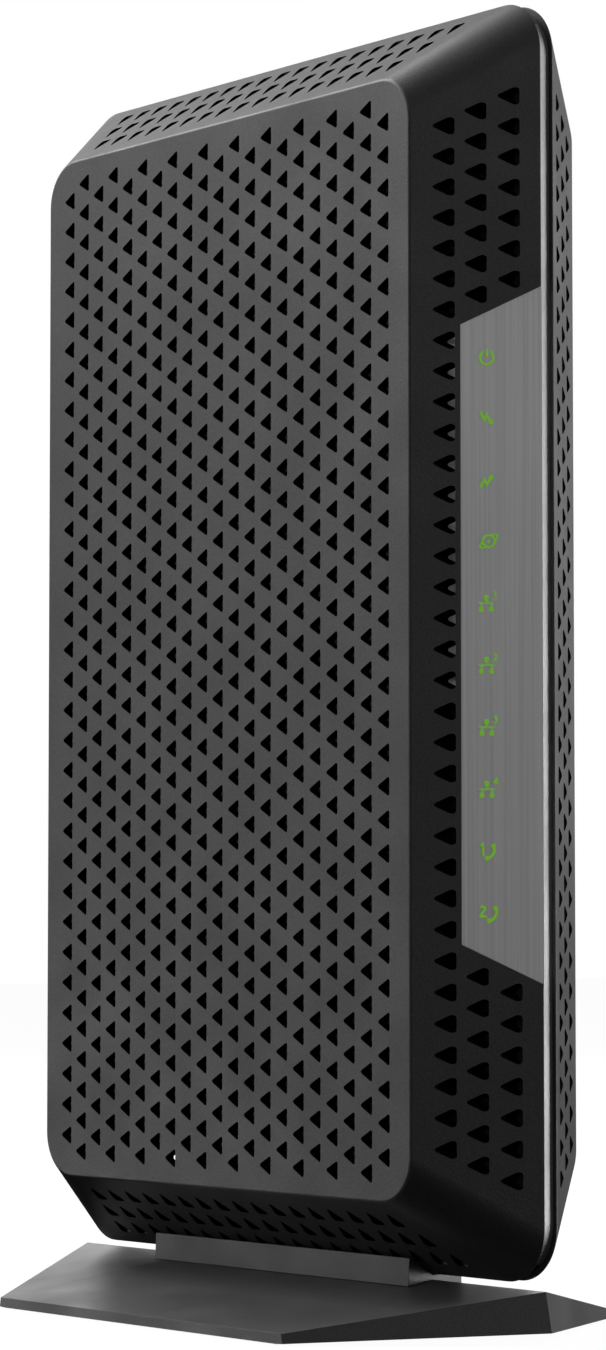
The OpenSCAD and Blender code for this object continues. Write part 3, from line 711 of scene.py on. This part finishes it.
# Visible nodes whose edges are rounded: (look, bevel width, body, slot)
SOFT_NODES = {
    "rear_panel": ("rear", 0.25 * MM, BODY, "rear_plastic"),
    "ethernet_jacks": ("jack", 0.2 * MM, BODY, "jack_plastic"),
    "phone_jacks": ("phone", 0.2 * MM, BODY, "phone_jack_plastic"),
    "power_jack": ("chip", 0.25 * MM, BODY, "component_black"),
    "coax_nut": ("nickel", 0.3 * MM, BODY, "coax_nickel"),
    "power_button": ("button", 0.5 * MM, "power_button", "button_plastic"),
    "stand_base": ("stand", 0.35 * MM, BODY, "stand_plastic"),
    "stand_cradle": ("cradle", 0.3 * MM, BODY, "stand_plastic"),
    "rubber_feet": ("rubber", 0.15 * MM, BODY, "foot_rubber"),
}


def finish_piece(piece, looks, body, slot, *nodes):
    """Gives a piece its materials, one per material slot, and its place in the assembly."""
    piece.data.materials.clear()
    for look in looks:
        piece.data.materials.append(look)
    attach(piece, body)
    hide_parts(*nodes)


def assemble(looks):
    """Builds every piece, and gives the pieces that stay as in CAD their looks."""
    for shell, node in ((make_left_shell(), "left_shell"), (make_right_shell(), "right_shell")):
        finish_piece(shell, (looks["shell"], looks["vent"]), BODY, "shell_plastic", node)
        # Paints the vent walls near black as the shade inside the holes.
        paint_vent_wall_shade(shell)
    pieces = (
        (groove_band("front_trim_look", True), "trim", "trim_silver", "front_trim"),
        # Black seal: partly its own colour, partly painted shade where the band turns dark past the
        # bottom front corner.
        (groove_band("groove_seal_look", False), "seal", "groove_black", "groove_seal"),
        (make_light_panel(), "panel", "panel_brushed", "light_panel"),
        (make_icons(), "icon", "icon_green", "icon_inlays"),
        (make_coax_thread(), "nickel", "coax_nickel", "coax_connector"),
    )
    for piece, look, slot, node in pieces:
        finish_piece(piece, (looks[look],), BODY, slot, node)
    for node, (look, width, body, slot) in SOFT_NODES.items():
        finish_piece(softened(node, width), (looks[look],), body, slot, node)
    for node, look in CAD_LOOKS.items():
        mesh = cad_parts[node].data
        mesh.materials.clear()
        mesh.materials.append(looks[look])


# ---------------------------------------------------------------- stage, light and camera

def area_light(name, place, target, size, power):
    """A rectangular lamp that faces a target."""
    light = bpy.data.lights.new(name, "AREA")
    light.shape = "RECTANGLE"
    light.size, light.size_y = size
    light.energy = power
    lamp = bpy.data.objects.new(name, light)
    lamp.location = place
    lamp.rotation_euler = (Vector(target) - Vector(place)).to_track_quat("-Z", "Y").to_euler()
    bpy.context.collection.objects.link(lamp)


def make_floor():
    """A plain pale floor that glows to the camera and lights nothing else."""
    corners = [(x * FLOOR_HALF, y * FLOOR_HALF, 0) for x, y in ((-1, -1), (1, -1), (1, 1), (-1, 1))]
    floor = mesh_object("floor", corners, [(0, 1, 2, 3)])
    material, _, _, shader = new_material("pale_floor")
    shader.inputs["Base Color"].default_value = (FLOOR_TONE, FLOOR_TONE, FLOOR_TONE, 1)
    shader.inputs["Roughness"].default_value = 0.9
    shader.inputs["Specular IOR Level"].default_value = 0.0
    shader.inputs["Emission Color"].default_value = (1, 1, 1, 1)
    shader.inputs["Emission Strength"].default_value = FLOOR_GLOW
    floor.data.materials.append(material)
    floor.visible_diffuse = False
    floor.visible_glossy = False


def make_world():
    """White where the camera looks, and a dim studio for the rest: dark below, paler above."""
    world = bpy.data.worlds.new("studio")
    bpy.context.scene.world = world
    world.use_nodes = True
    nodes, links = world.node_tree.nodes, world.node_tree.links
    nodes.clear()
    place = nodes.new("ShaderNodeTexCoord")
    split = nodes.new("ShaderNodeSeparateXYZ")
    links.new(place.outputs["Generated"], split.inputs["Vector"])
    remap = nodes.new("ShaderNodeMath")
    remap.operation = "MULTIPLY_ADD"
    remap.inputs[1].default_value = 0.5
    remap.inputs[2].default_value = 0.5
    links.new(split.outputs["Z"], remap.inputs[0])
    shades = ramp(nodes, links, remap.outputs["Value"], 0.0, STUDIO_GREY,
                  STUDIO_DARK_END, STUDIO_PALE_START)
    dim = nodes.new("ShaderNodeBackground")
    links.new(shades, dim.inputs["Color"])
    white = nodes.new("ShaderNodeBackground")
    white.inputs["Color"].default_value = (1, 1, 1, 1)
    rays = nodes.new("ShaderNodeLightPath")
    mix = nodes.new("ShaderNodeMixShader")
    out = nodes.new("ShaderNodeOutputWorld")
    links.new(rays.outputs["Is Camera Ray"], mix.inputs["Fac"])
    links.new(dim.outputs["Background"], mix.inputs[1])
    links.new(white.outputs["Background"], mix.inputs[2])
    links.new(mix.outputs["Shader"], out.inputs["Surface"])


def make_camera():
    """The camera, low in front of the left side."""
    camera = bpy.data.cameras.new("camera")
    camera.sensor_width = SENSOR_WIDTH
    camera.lens = FOCAL_LENGTH
    camera.clip_start = 0.01
    viewer = bpy.data.objects.new("camera", camera)
    viewer.location = CAMERA_PLACE
    viewer.rotation_euler = Vector(CAMERA_DIRECTION).to_track_quat("-Z", "Y").to_euler()
    bpy.context.collection.objects.link(viewer)
    bpy.context.scene.camera = viewer


def make_lights():
    for light in LIGHTS:
        area_light(*light)


bpy.context.scene.view_settings.view_transform = "Standard"
make_camera()
make_world()
make_lights()
make_floor()
assemble(make_materials())
